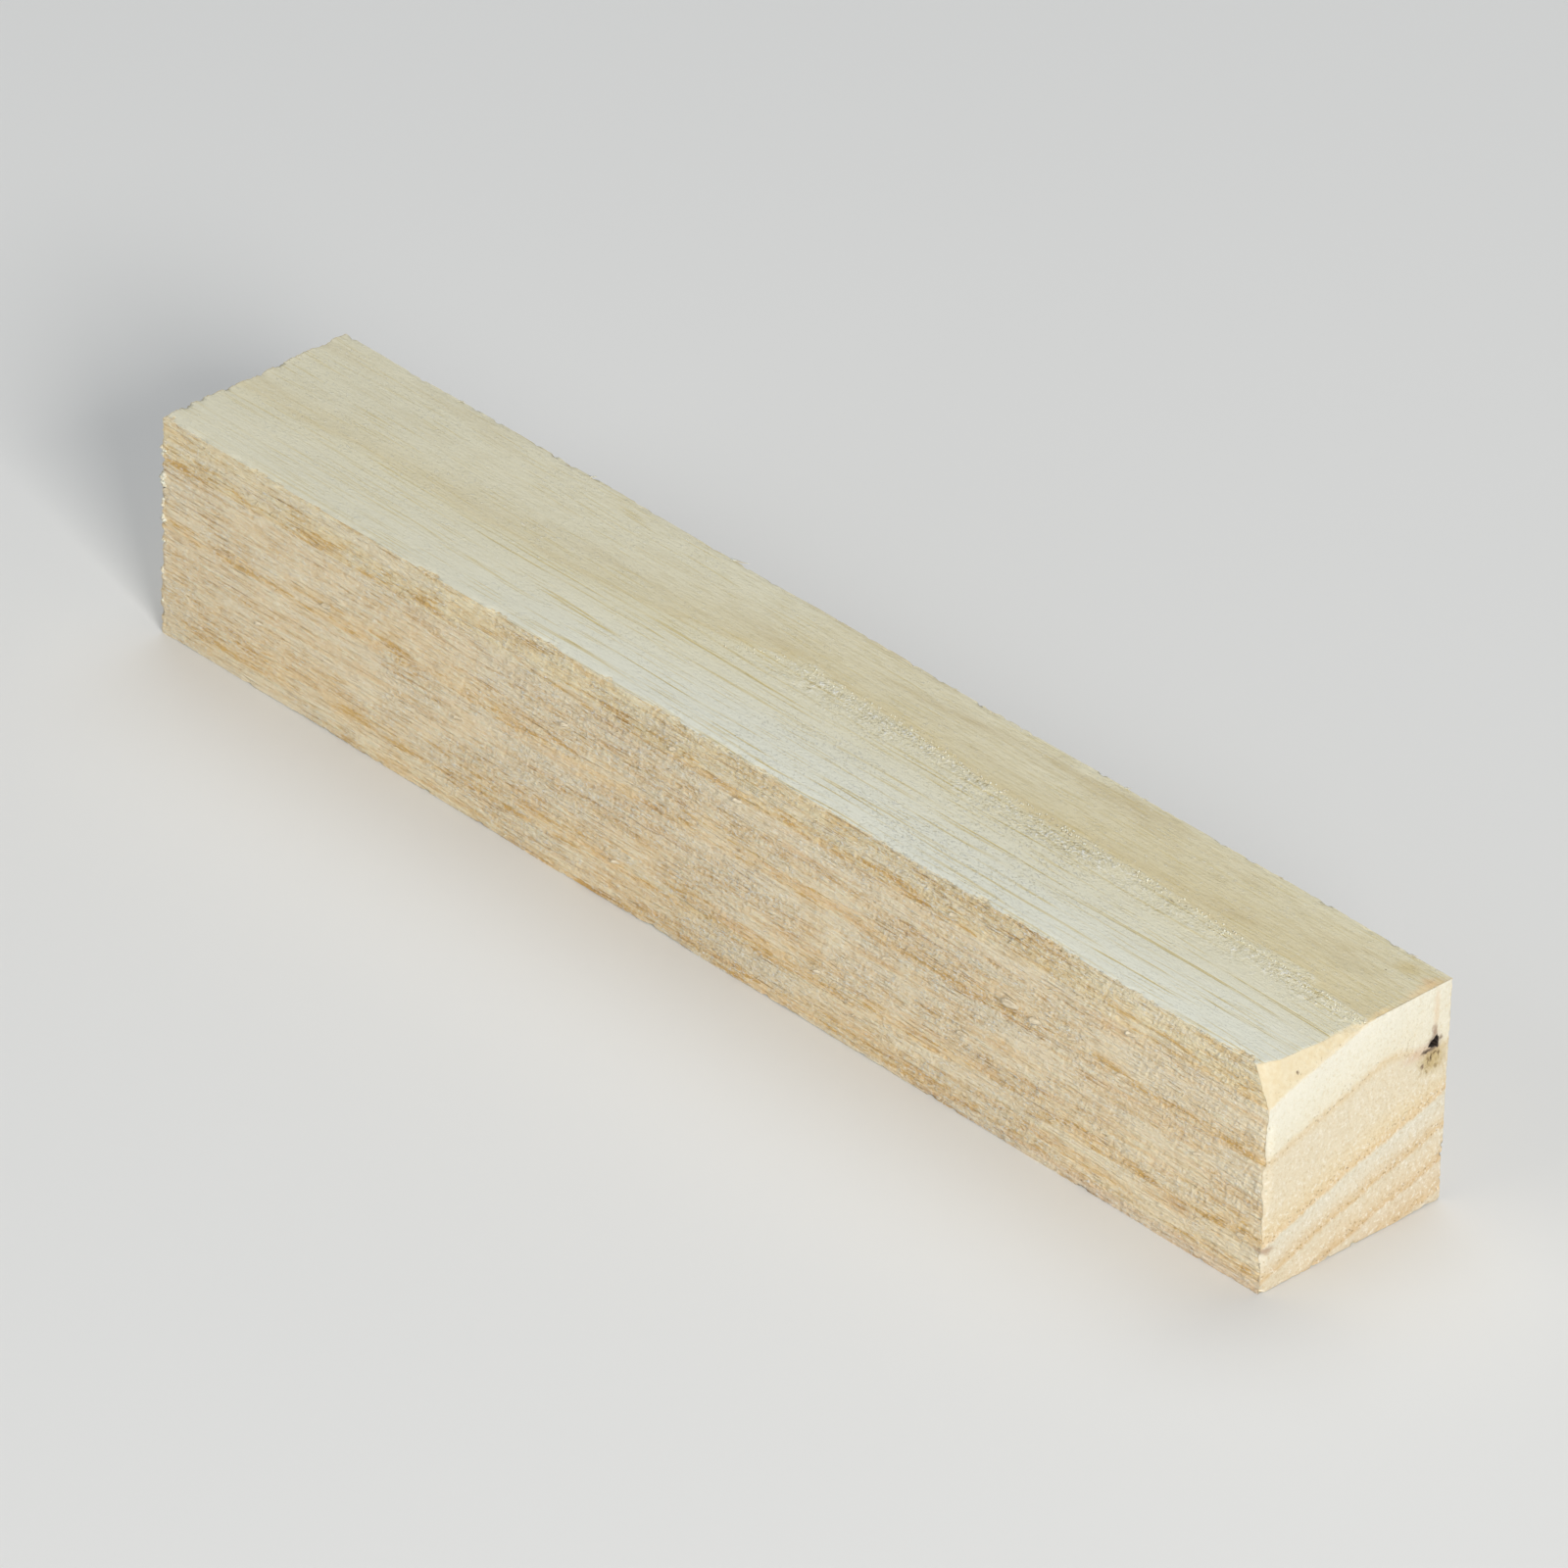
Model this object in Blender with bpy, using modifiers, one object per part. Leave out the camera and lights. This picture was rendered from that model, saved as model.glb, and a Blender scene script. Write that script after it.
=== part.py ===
"""Wood turning blank: one rough-sawn square of pale, ring-porous wood, cut to length for a small lathe.

The blank lies on a long face. X runs along the grain, from the clean end at -X to the broken end
at +X; Y runs across it, and Z is up. The origin is the middle of the face that it lies on.
All sizes are in metres.
"""

import math

import bmesh
import bpy
from mathutils import Matrix, Vector

# The sawn square
LENGTH = 0.127
WIDTH = 0.0200
HEIGHT = 0.0207

# Every arris has lost its sharpness in handling
ARRIS_WIDTH = 0.0002
ARRIS_STEPS = 2

# The crosscut tore out a corner of the +X end down to a growth ring. Each size is taken
# from the sharp corner where the +X end, the -Y face and the top would meet.
BREAK_ACROSS = 0.0109
BREAK_DOWN = 0.0037
BREAK_BACK = 0.0017

# The ring that stopped the break bows up from its chord by this much at mid width
RING_BOW = 0.00025

# The torn edge on the top face: (share of BREAK_ACROSS, share of BREAK_BACK)
TORN_EDGE = (
    (0.00, 1.00),
    (0.08, 0.74),
    (0.17, 0.50),
    (0.32, 0.43),
    (0.52, 0.30),
    (0.69, 0.40),
    (0.84, 0.46),
    (0.94, 0.18),
    (1.00, 0.00),
)
TORN_STATIONS = 33

# How far the break's cutter stands clear of the faces that it passes through
CUTTER_CLEAR = 0.002

# A three-cornered bark pocket beside a small knot in the +X end, tapering inwards
POCKET_FROM_BROKEN_FACE = 0.0183
POCKET_DOWN = 0.0053
POCKET_RADIUS = 0.0007
POCKET_DEPTH = 0.0022
POCKET_LEAN = math.radians(8.0)

# Pale straw-coloured wood, as sawn
WOOD_COLOUR = (0.71, 0.55, 0.35, 1.0)
WOOD_ROUGHNESS = 0.8


def clear_scene():
    """Removes whatever the file opened with."""
    for old in list(bpy.data.objects):
        bpy.data.objects.remove(old, do_unlink=True)


def collection(name):
    """A new collection under the scene's own."""
    made = bpy.data.collections.new(name)
    bpy.context.scene.collection.children.link(made)
    return made


def sawn_wood():
    """The one material: dry, unfinished wood."""
    made = bpy.data.materials.new("sawn_wood")
    made.use_nodes = True
    shader = made.node_tree.nodes["Principled BSDF"]
    shader.inputs["Base Color"].default_value = WOOD_COLOUR
    shader.inputs["Roughness"].default_value = WOOD_ROUGHNESS
    shader.inputs["Metallic"].default_value = 0.0
    return made


def mesh_object(name, bm, home):
    """Turns a bmesh into an object in the given collection."""
    mesh = bpy.data.meshes.new(name)
    bm.to_mesh(mesh)
    bm.free()
    made = bpy.data.objects.new(name, mesh)
    home.objects.link(made)
    return made


def hide_cutter(cutter):
    """A cutter shows only as a wire and isn't part of the blank."""
    cutter.hide_render = True
    cutter.display_type = "WIRE"


def cut(target, cutter):
    """Takes the cutter's shape out of the target."""
    step = target.modifiers.new(cutter.name, "BOOLEAN")
    step.operation = "DIFFERENCE"
    step.solver = "EXACT"
    step.object = cutter


def torn_back(share):
    """How far back from the end the torn edge lies on the top face, at a share of the way across."""
    for (near, near_back), (far, far_back) in zip(TORN_EDGE, TORN_EDGE[1:]):
        if share <= far:
            step = (share - near) / (far - near)
            eased = step * step * (3.0 - 2.0 * step)
            return BREAK_BACK * (near_back + (far_back - near_back) * eased)
    return 0.0


def ring_down(share):
    """How far below the top the growth ring crosses the end, at a share of the way across."""
    return BREAK_DOWN * (1.0 - share) - 4.0 * RING_BOW * share * (1.0 - share)


def break_section(share):
    """The cutter's section at one station: the broken line, run on past both faces, and an outer corner.

    The line passes through the torn edge on the top and the growth ring on the end.
    """
    on_top = Vector((LENGTH / 2 - torn_back(share), 0.0, HEIGHT))
    on_end = Vector((LENGTH / 2, 0.0, HEIGHT - ring_down(share)))
    up_the_break = on_top - on_end
    if up_the_break.length < 1e-9:
        up_the_break = Vector((-1.0, 0.0, 1.0))
    reach = up_the_break.normalized() * CUTTER_CLEAR
    above = on_top + reach
    below = on_end - reach
    corner = Vector((LENGTH / 2 + 2 * CUTTER_CLEAR, 0.0, HEIGHT + 2 * CUTTER_CLEAR))
    return above, below, corner


def break_cutter(home):
    """The torn-out corner, lofted across the blank from the broken face to where the ring meets the top."""
    bm = bmesh.new()
    shares = [station / (TORN_STATIONS - 1) for station in range(TORN_STATIONS)]
    places = [-WIDTH / 2 + BREAK_ACROSS * share for share in shares]
    shares.insert(0, shares[0])
    places.insert(0, -WIDTH / 2 - CUTTER_CLEAR)
    loops = []
    for share, across in zip(shares, places):
        loops.append([bm.verts.new(point + Vector((0.0, across, 0.0))) for point in break_section(share)])
    for this, following in zip(loops, loops[1:]):
        for side in range(3):
            after = (side + 1) % 3
            bm.faces.new((this[side], this[after], following[after], following[side]))
    bm.faces.new(loops[0])
    bm.faces.new(loops[-1])
    bmesh.ops.recalc_face_normals(bm, faces=bm.faces)
    return mesh_object("corner_break", bm, home)


def pocket_cutter(home):
    """The bark pocket: a three-sided point driven into the end, its base just outside it."""
    bm = bmesh.new()
    outside = CUTTER_CLEAR
    taper = POCKET_RADIUS / POCKET_DEPTH
    bmesh.ops.create_cone(
        bm,
        cap_ends=True,
        segments=3,
        radius1=POCKET_RADIUS + taper * outside,
        radius2=0.0,
        depth=POCKET_DEPTH + outside,
    )
    bmesh.ops.remove_doubles(bm, verts=bm.verts, dist=1e-6)
    point_inwards = Matrix.Rotation(-math.pi / 2, 4, "Y")
    one_corner_up = Matrix.Rotation(math.pi / 2 + POCKET_LEAN, 4, "X")
    centre = Vector((
        LENGTH / 2 + (outside - POCKET_DEPTH) / 2,
        -WIDTH / 2 + POCKET_FROM_BROKEN_FACE,
        HEIGHT - POCKET_DOWN,
    ))
    bm.transform(Matrix.Translation(centre) @ one_corner_up @ point_inwards)
    return mesh_object("bark_pocket", bm, home)


def turning_blank(home):
    """The sawn square with its worn arrises."""
    bm = bmesh.new()
    bmesh.ops.create_cube(bm, size=1.0)
    bmesh.ops.scale(bm, vec=(LENGTH, WIDTH, HEIGHT), verts=bm.verts)
    bmesh.ops.translate(bm, vec=(0.0, 0.0, HEIGHT / 2), verts=bm.verts)
    blank = mesh_object("turning_blank", bm, home)
    wear = blank.modifiers.new("arris_wear", "BEVEL")
    wear.width = ARRIS_WIDTH
    wear.segments = ARRIS_STEPS
    wear.limit_method = "ANGLE"
    return blank


def main():
    clear_scene()
    blank_pieces = collection("wood_turning_blank")
    cutters = collection("cutters")
    blank = turning_blank(blank_pieces)
    blank.data.materials.append(sawn_wood())
    for cutter in (break_cutter(cutters), pocket_cutter(cutters)):
        hide_cutter(cutter)
        cut(blank, cutter)


main()
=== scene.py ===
"""Wood turning blank: a rough-sawn square of pale ring-porous wood, with a corner torn out of one end.

Places are in metres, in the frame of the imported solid. X runs along the grain, -Y is the rough-sawn
side that faces the camera, Z is up. The wood's figure is one solid pattern, worked out in millimetres
from the growth rings, and the same pattern drives the colour of the wood and the relief of its faces.
"""

import math
from contextlib import contextmanager
from functools import partialmethod
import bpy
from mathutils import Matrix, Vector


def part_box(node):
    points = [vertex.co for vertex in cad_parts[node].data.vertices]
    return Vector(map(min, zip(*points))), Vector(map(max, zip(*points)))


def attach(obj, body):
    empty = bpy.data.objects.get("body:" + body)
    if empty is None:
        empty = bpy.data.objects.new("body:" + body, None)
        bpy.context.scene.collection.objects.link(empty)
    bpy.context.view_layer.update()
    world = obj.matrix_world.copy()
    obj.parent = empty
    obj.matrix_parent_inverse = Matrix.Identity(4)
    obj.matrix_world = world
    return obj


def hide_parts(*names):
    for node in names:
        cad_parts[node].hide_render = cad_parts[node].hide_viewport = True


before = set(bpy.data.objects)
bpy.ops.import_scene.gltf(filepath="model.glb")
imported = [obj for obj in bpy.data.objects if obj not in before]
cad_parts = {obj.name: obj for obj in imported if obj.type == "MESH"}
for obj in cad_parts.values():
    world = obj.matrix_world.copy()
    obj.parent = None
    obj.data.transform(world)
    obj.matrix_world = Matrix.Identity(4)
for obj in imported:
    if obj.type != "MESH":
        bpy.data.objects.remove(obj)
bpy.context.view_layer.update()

from types import SimpleNamespace

import bpy
import numpy as np
from mathutils import Matrix, Vector
from mathutils.bvhtree import BVHTree

NODE = "turning_blank"
BLANK_LOW, BLANK_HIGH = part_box(NODE)
LENGTH, WIDTH, HEIGHT = BLANK_HIGH - BLANK_LOW

# The same in millimetres, which the wood's pattern and the torn fibres are worked out in
MM = 0.001
HALF_LONG = LENGTH / MM / 2
HALF_WIDE = WIDTH / MM / 2
TALL = HEIGHT / MM

# The corner break, from the sharp corner where the +X end, the -Y face and the top would meet
BREAK_ACROSS = 0.0109
BREAK_DOWN = 0.0037
BREAK_BACK = 0.0017
FACET_EDGE = 0.00006

# The net of faces is drawn on to the solid this far from that corner, a little past the break
DRAWN_BACK = BREAK_BACK * 1.2
DRAWN_ACROSS = BREAK_ACROSS * 1.05
DRAWN_DOWN = BREAK_DOWN * 1.1
SQUASHED = 0.00005
MERGED = 0.000001
SMOOTH_UP_TO = math.radians(62.0)

# The bark pocket in the +X end
POCKET_FROM_SEEN_SIDE = 0.0183
POCKET_DOWN = 0.0053
POCKET_RADIUS = 0.0007
POCKET_DEPTH = 0.0022
POCKET_LEAN = math.radians(8.0)
POCKET_SIDES = 12
POCKET_UNEVEN = 0.13
CUTTER_CLEAR = 0.001

# Cuts along each edge of the skin: the stretch by the break is finer along the grain
BREAK_STRETCH = 0.0026
CUTS_BY_BREAK = 13
CUTS_ALONG = 290
CUTS_ACROSS = 98
CUTS_UP = 100

# The hidden faces are thinned out to this share, from this far inside them up to this far from the seen ones
THINNED_SHARE = 0.66
HIDDEN_SKIN = 0.3 * MM
SEEN_MARGIN = 0.5 * MM

# Growth rings, as a depth in millimetres below the top at the -Y face of the +X end:
# the line where a year ends, and how wide the porous wood above the line is
RINGS = (
    (3.5, 1.6), (9.0, 1.7), (16.5, 2.3), (19.9, 1.6), (22.9, 1.3), (25.6, 1.0),
)
RING_RANGE = 28.0

# The wood's tone on each kind of face, by ring depth in millimetres, as screen values
END_TONES = (
    (0.0, (246, 233, 204)), (3.4, (245, 232, 202)), (3.7, (247, 243, 226)), (6.4, (244, 239, 219)),
    (8.1, (242, 234, 210)), (8.7, (232, 213, 176)), (9.4, (235, 223, 196)), (13.4, (236, 223, 194)),
    (15.2, (237, 219, 182)), (16.3, (236, 211, 168)), (16.7, (233, 226, 206)),
    (18.2, (236, 225, 200)), (19.7, (228, 202, 158)), (20.1, (234, 222, 196)),
    (21.8, (235, 218, 186)), (22.8, (226, 198, 154)), (23.1, (234, 221, 196)),
    (25.4, (228, 202, 160)), (25.8, (233, 220, 194)), (28.0, (233, 218, 188)),
)
# The top's tones are cooler and greyer than the other faces': partly the wood's own tone, partly a painted
# cool sheen
TOP_TONES_AND_SHEEN = (
    (0.0, (214, 214, 200)), (1.2, (213, 212, 196)), (2.2, (212, 208, 186)), (3.35, (210, 203, 174)),
    (3.5, (204, 192, 156)), (3.7, (206, 197, 166)), (4.6, (210, 203, 176)), (5.6, (213, 208, 184)),
    (9.0, (212, 206, 182)),
)
SIDE_TONES = (
    (0.0, (214, 203, 174)), (2.4, (215, 201, 168)), (3.4, (214, 196, 158)), (3.7, (212, 201, 176)),
    (7.2, (213, 199, 170)), (8.8, (212, 192, 154)), (9.2, (212, 200, 174)), (14.0, (213, 199, 170)),
    (16.2, (211, 191, 152)), (16.7, (213, 202, 176)), (19.7, (211, 192, 154)),
    (20.1, (212, 200, 174)), (22.8, (210, 191, 154)), (23.1, (212, 200, 174)),
    (25.5, (211, 192, 154)), (28.0, (212, 199, 170)),
)
# The facet's darker and paler tones: partly the wood's own mottle, partly painted shading
FACET_TONES_AND_SHADING = ((241, 223, 183), (248, 235, 202))
BARK_TONES = ((48, 40, 36), (88, 76, 66))
FIBRE_TONES = ((224, 214, 188), (250, 244, 226))
TONGUE_TONES = ((197, 182, 153), (225, 214, 189))
VESSEL_TONE = (162, 126, 80)
LINE_TONE = (194, 177, 122)
FAR_TOP_TONE = (210, 205, 181)
DASH_TONE = (204, 168, 101)

# The level of light that a tone is seen under: on each kind of face, then on marks and on the painted
# highlights of raised grains
SIDE_LIGHT = 0.735
TOP_LIGHT = 0.88
END_LIGHT = 1.11
FACET_LIGHT = 1.2
MARK_LIGHT = 0.85
GRAIN_LIGHT = 0.86
HAIR_LIGHT = 0.87
SPECK_LIGHT = 0.90

# Marks on the +X end: middle (across from the -Y face, down from the top), reach, colour, strength
END_MARKS = (
    ((18.1, 6.75), (2.2, 1.8), (192, 169, 114), 0.80),
    ((16.6, 5.6), (2.6, 0.9), (214, 186, 164), 0.50),
    ((18.3, 2.2), (0.50, 3.0), (226, 200, 164), 0.50),
    ((18.25, 4.2), (0.40, 1.0), (140, 104, 80), 0.65),
    ((18.25, 5.3), (1.25, 1.25), (150, 118, 94), 0.55),
    ((18.25, 5.35), (0.72, 0.78), (44, 34, 30), 0.95),
    ((17.42, 5.78), (0.95, 0.30), (62, 46, 36), 0.90),
    ((18.95, 5.1), (0.28, 0.36), (104, 80, 62), 0.65),
    ((17.95, 6.5), (0.22, 0.62), (82, 60, 28), 0.95),
    ((17.6, 6.65), (0.18, 0.50), (108, 82, 42), 0.85),
    ((18.4, 6.3), (0.38, 0.22), (98, 74, 36), 0.85),
    ((18.8, 6.45), (0.18, 0.42), (110, 84, 46), 0.80),
    ((17.0, 6.95), (0.28, 0.42), (108, 78, 58), 0.80),
    ((18.5, 7.5), (0.20, 0.34), (132, 108, 62), 0.60),
    ((17.5, 7.7), (0.16, 0.28), (140, 116, 70), 0.60),
    ((3.24, 1.56), (0.22, 0.19), (96, 70, 44), 0.90),
    ((0.5, 16.75), (1.1, 0.5), (164, 126, 96), 0.65),
)

# Marks on the top: middle (along, across from the -Y face), reach, colour, strength
TOP_MARKS = (
    ((63.4, 17.2), (1.2, 3.6), (216, 184, 136), 0.55),
    ((62.7, 18.1), (1.1, 0.9), (212, 176, 128), 0.50),
    ((60.3, 18.3), (1.9, 1.2), (196, 178, 128), 0.65),
    ((63.5, 12.2), (0.8, 2.4), (218, 188, 138), 0.50),
    ((59.3, 16.8), (0.16, 0.13), (106, 96, 76), 0.85),
    ((57.0, 15.0), (3.6, 1.1), (192, 182, 150), 0.40),
    ((41.5, 11.2), (0.35, 0.2), (150, 126, 84), 0.70),
)

# Tongues of wood lifted off the -Y face, each with its free end towards -X: where that end is
# (along, up), and the tongue's length and width, all in millimetres
TONGUES = (
    (34.8, 13.1, 2.00, 0.90), (37.9, 12.9, 1.30, 0.75), (48.2, 16.8, 1.10, 0.55),
    (30.0, 7.7, 1.30, 0.50), (-3.1, 18.0, 0.90, 0.45), (4.1, 16.7, 1.20, 0.55),
    (-15.6, 14.3, 0.90, 0.40), (42.1, 13.2, 0.90, 0.38), (28.7, 18.1, 0.90, 0.45),
    (56.0, 9.6, 1.00, 0.36), (61.0, 4.6, 0.90, 0.42), (47.5, 12.6, 0.90, 0.36),
    (-44.0, 12.0, 1.10, 0.50), (-28.0, 9.0, 1.10, 0.42), (-52.0, 6.5, 1.00, 0.42),
    (14.0, 5.5, 1.00, 0.38), (21.5, 10.4, 0.90, 0.34), (-9.5, 4.2, 1.00, 0.38),
)

# Lumps of torn fibre on the upright arris of the -Y face and the -X end: height and size in millimetres
FAR_TUFTS = (
    (17.7, 0.7), (15.2, 1.0), (14.4, 0.6), (12.6, 0.6), (11.2, 0.7), (9.0, 0.4), (6.1, 0.5),
    (3.2, 0.4),
)

# Where the outermost ring crosses the top: along, and across from the -Y face, in millimetres
RING_ON_TOP = (
    (-10.0, 11.3), (-6.0, 12.4), (-3.4, 13.5), (9.3, 13.4), (18.9, 12.6), (44.4, 12.0),
    (62.6, 10.5),
)

# Splinters on the +Y arris of the top: along, length, width and how far out they stand, in millimetres
SPLINTERS = (
    (-17.6, 2.7, 0.32, 0.35), (-34.0, 0.9, 0.42, 0.22), (27.4, 1.0, 0.30, 0.22),
    (29.5, 0.8, 0.24, 0.20), (58.8, 1.2, 0.30, 0.18), (44.0, 1.4, 0.22, 0.14),
    (8.0, 1.1, 0.22, 0.14), (-50.0, 1.3, 0.26, 0.18),
)

# Strings of slips on the -Y and +Y faces, slips and crumbs along the ring, crumbs in each lump at the far
# end, slips up the near end's arris and along the foot, and the seeds of their chances
STRINGS = ((-1.0, 95), (1.0, 60))
RING_SLIPS = 330
TUFT_CRUMBS = 6
ARRIS_SLIPS = 26
FOOT_SLIPS = 70
PLACE_SEED = 7
SHAPE_SEED = 21

# The saw's strokes lean this far from upright, towards the +X end
STROKE_SLANT = math.radians(21.0)

# How the rings lean across the blank: share of the length from the -X end, and lean
RING_LEAN = (
    (0.00, 1.33), (0.15, 1.19), (0.30, 1.16), (0.35, 1.09), (0.40, 1.00), (0.45, 0.91),
    (0.48, 0.84), (0.58, 0.845), (0.65, 0.89), (0.85, 0.93), (1.00, 1.03),
)
# How the rings spread apart with depth: share of the length from the -X end, and spread
RING_SPREAD = (
    (0.00, 1.18), (0.25, 1.10), (0.50, 1.04), (1.00, 1.00),
)

# The noises drawn out along the grain: cells in a millimetre along and across it, shift, detail, roughness
DRAWN_OUT = {
    "fibre": (0.35, 3.6, 0.0, 2.0, 0.6),
    "flecks": (2.0, 4.2, 5.0, 2.0, 0.6),
    "dust": (3.0, 5.6, 7.0, 2.0, 0.7),
    "dashes": (0.27, 1.7, 3.0, 4.0, 0.65),
    "figure": (0.05, 0.4, 9.0, 4.0, 0.6),
    "bands": (0.07, 0.75, 21.0, 2.0, 0.5),
    "broken": (0.09, 1.1, 13.0, 2.0, 0.5),
}

# The sets of lines along the grain: shift across it, then their spacing, length and radius
LINE_SETS = {
    "long_lines": (0.0, 0.50, 75.0, 0.25),
    "more_lines": (57.3, 0.85, 60.0, 0.22),
    "short_lines": (31.7, 0.32, 14.0, 0.25),
    "patch_cells": (83.9, 1.25, 13.0, 0.30),
}

WOOD_ROUGHNESS = 0.62
FIBRE_ROUGHNESS = 0.6
WOOD_SPECULAR = 0.35

CAMERA_LENS = 341.3
CAMERA_AZIMUTH = math.radians(45.26)
CAMERA_ELEVATION = math.radians(32.77)
CAMERA_ROLL = math.radians(1.99)
CAMERA_DISTANCE = 1.189
CAMERA_AIM = Vector((-0.00405, 0.00354, 0.00833))


class Wiring:
    """Puts nodes into one tree. Each method adds a node, joins its inputs and returns its output."""

    def __init__(self, tree):
        self.tree = tree
        self.groups = {}

    def join(self, value, socket):
        if isinstance(value, bpy.types.NodeSocket):
            self.tree.links.new(value, socket)
        else:
            socket.default_value = value

    def put(self, kind, inputs=(), **settings):
        node = self.tree.nodes.new(kind)
        for name, value in settings.items():
            setattr(node, name, value)
        named = inputs.items() if isinstance(inputs, dict) else enumerate(inputs)
        for place, value in named:
            self.join(value, node.inputs[place])
        return node

    def calc(self, operation, *values):
        return self.put("ShaderNodeMath", values, operation=operation).outputs[0]

    add = partialmethod(calc, "ADD")
    less = partialmethod(calc, "SUBTRACT")
    over = partialmethod(calc, "DIVIDE")
    most = partialmethod(calc, "MAXIMUM")
    least = partialmethod(calc, "MINIMUM")
    times_add = partialmethod(calc, "MULTIPLY_ADD")
    size = partialmethod(calc, "ABSOLUTE")

    def times(self, *values):
        """The product, taken from left to right."""
        product = values[0]
        for value in values[1:]:
            product = self.calc("MULTIPLY", product, value)
        return product

    def fade(self, value, low, high, to_low=0.0, to_high=1.0):
        """Rises smoothly from to_low to to_high as value goes from low to high."""
        if isinstance(low, float) and isinstance(high, float) and low > high:
            low, high, to_low, to_high = high, low, to_high, to_low
        inputs = (value, low, high, to_low, to_high)
        return self.put("ShaderNodeMapRange", inputs, interpolation_type="SMOOTHSTEP").outputs[0]

    def bump_at(self, value, middle, reach):
        """One at the middle, falling smoothly to nought a reach away on both sides."""
        off = self.size(self.less(value, middle))
        return self.fade(off, reach, 0.0)

    def vector(self, operation, *values):
        return self.put("ShaderNodeVectorMath", values, operation=operation).outputs[0]

    def scaled(self, place, x, y, z):
        return self.vector("MULTIPLY", place, (x, y, z))

    def length(self, place):
        return self.put("ShaderNodeVectorMath", (place,), operation="LENGTH").outputs["Value"]

    def place_in_mm(self):
        """The place in the blank's own frame, in millimetres."""
        if self.tree.type == "GEOMETRY":
            place = self.put("GeometryNodeInputPosition").outputs[0]
        else:
            place = self.put("ShaderNodeTexCoord").outputs["Object"]
        return self.scaled(place, 1 / MM, 1 / MM, 1 / MM)

    def parts(self, place):
        return self.put("ShaderNodeSeparateXYZ", (place,)).outputs

    def whole(self, x, y, z):
        return self.put("ShaderNodeCombineXYZ", (x, y, z)).outputs[0]

    def noise(self, place, detail=2.0, roughness=0.5):
        inputs = {"Vector": place, "Scale": 1.0, "Detail": detail, "Roughness": roughness}
        return self.put("ShaderNodeTexNoise", inputs).outputs[0]

    def uneven(self, place, detail=2.0, roughness=0.5):
        """Noise about nought."""
        return self.less(self.noise(place, detail, roughness), 0.5)

    def cells(self, place, flat=False):
        dimensions = "2D" if flat else "3D"
        inputs = {"Vector": place, "Scale": 1.0}
        return self.put("ShaderNodeTexVoronoi", inputs, voronoi_dimensions=dimensions).outputs["Distance"]

    def curve(self, value, points):
        """A curve through (place, height) points, with heights up to two."""
        node = self.put("ShaderNodeFloatCurve", (1.0, value))
        node.mapping.clip_max_y = 2.0
        line = node.mapping.curves[0]
        line.points[0].location = points[0]
        line.points[1].location = points[-1]
        for point in points[1:-1]:
            line.points.new(*point)
        node.mapping.update()
        return node.outputs[0]

    def ramp(self, value, stops):
        """A colour ramp with (place, colour) stops."""
        node = self.put("ShaderNodeValToRGB", (value,))
        elements = node.color_ramp.elements
        elements[0].position = stops[0][0]
        elements[1].position = stops[-1][0]
        for place, _ in stops[1:-1]:
            elements.new(place)
        for element, (_, colour) in zip(elements, stops):
            element.color = (*colour, 1.0)
        return node.outputs[0]

    def mixed(self, share, a, b, blend="MIX"):
        """A colour between a and b, or a multiplied by b, as far as share says."""
        node = self.put("ShaderNodeMix", (share,), data_type="RGBA", blend_type=blend)
        self.join(opaque(a), node.inputs[6])
        self.join(opaque(b), node.inputs[7])
        return node.outputs[2]

    def field(self, name, *values):
        """One use of a field of the wood, whose group each tree has once. Its outputs come back in order."""
        if name not in self.groups:
            self.groups[name] = field_group(name, self.tree.bl_idname)
        kind = self.tree.bl_idname.replace("NodeTree", "NodeGroup")
        return self.put(kind, values, node_tree=self.groups[name]).outputs


def opaque(colour):
    return (*colour, 1.0) if isinstance(colour, tuple) else colour


def linear(value):
    """A screen value up to 255, as the linear value that shaders take."""
    share = value / 255.0
    return share / 12.92 if share <= 0.04045 else ((share + 0.055) / 1.055) ** 2.4


def tone(screen, light=1.0):
    """The colour that shows as these screen values under a given level of light."""
    return tuple(min(0.9, linear(value) / light) for value in screen)


def growth_rings(w, place):
    """From a place in millimetres: the ring depth there as a share of RING_RANGE, and how porous it is."""
    along, across, up = w.parts(place)
    share = w.times_add(along, 0.5 / HALF_LONG, 0.5)
    from_side = w.add(across, HALF_WIDE)
    down = w.less(TALL, up)
    lean = w.curve(share, RING_LEAN)
    spread = w.curve(share, RING_SPREAD)
    rise = w.times(from_side, w.times_add(from_side, -0.003, 0.35))
    depth = w.add(w.over(down, spread), w.times(lean, rise))
    # The rings dip round the knot beside the bark pocket
    to_knot = w.scaled(w.vector("ADD", place, (-HALF_LONG, -9.5, -15.2)), 0.1, 0.22, 0.33)
    depth = w.less(depth, w.fade(w.length(to_knot), 1.6, 0.0, 0.0, 3.3))
    wander = w.uneven(w.scaled(place, 0.05, 0.22, 0.22))
    fray = w.uneven(w.scaled(place, 0.12, 1.4, 1.4), detail=3.0)
    depth = w.times_add(wander, 0.9, w.times_add(fray, 0.5, depth))
    share_down = w.over(depth, RING_RANGE)
    stops = [(0.0, (0.15, 0.15, 0.15))]
    for line, width in RINGS:
        stops.append(((line - width) / RING_RANGE, (0.12, 0.12, 0.12)))
        stops.append(((line - 0.2) / RING_RANGE, (1.0, 1.0, 1.0)))
        stops.append(((line + 0.1) / RING_RANGE, (0.0, 0.0, 0.0)))
    stops.append((1.0, (0.2, 0.2, 0.2)))
    porous = w.ramp(share_down, stops)
    return share_down, porous


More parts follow.
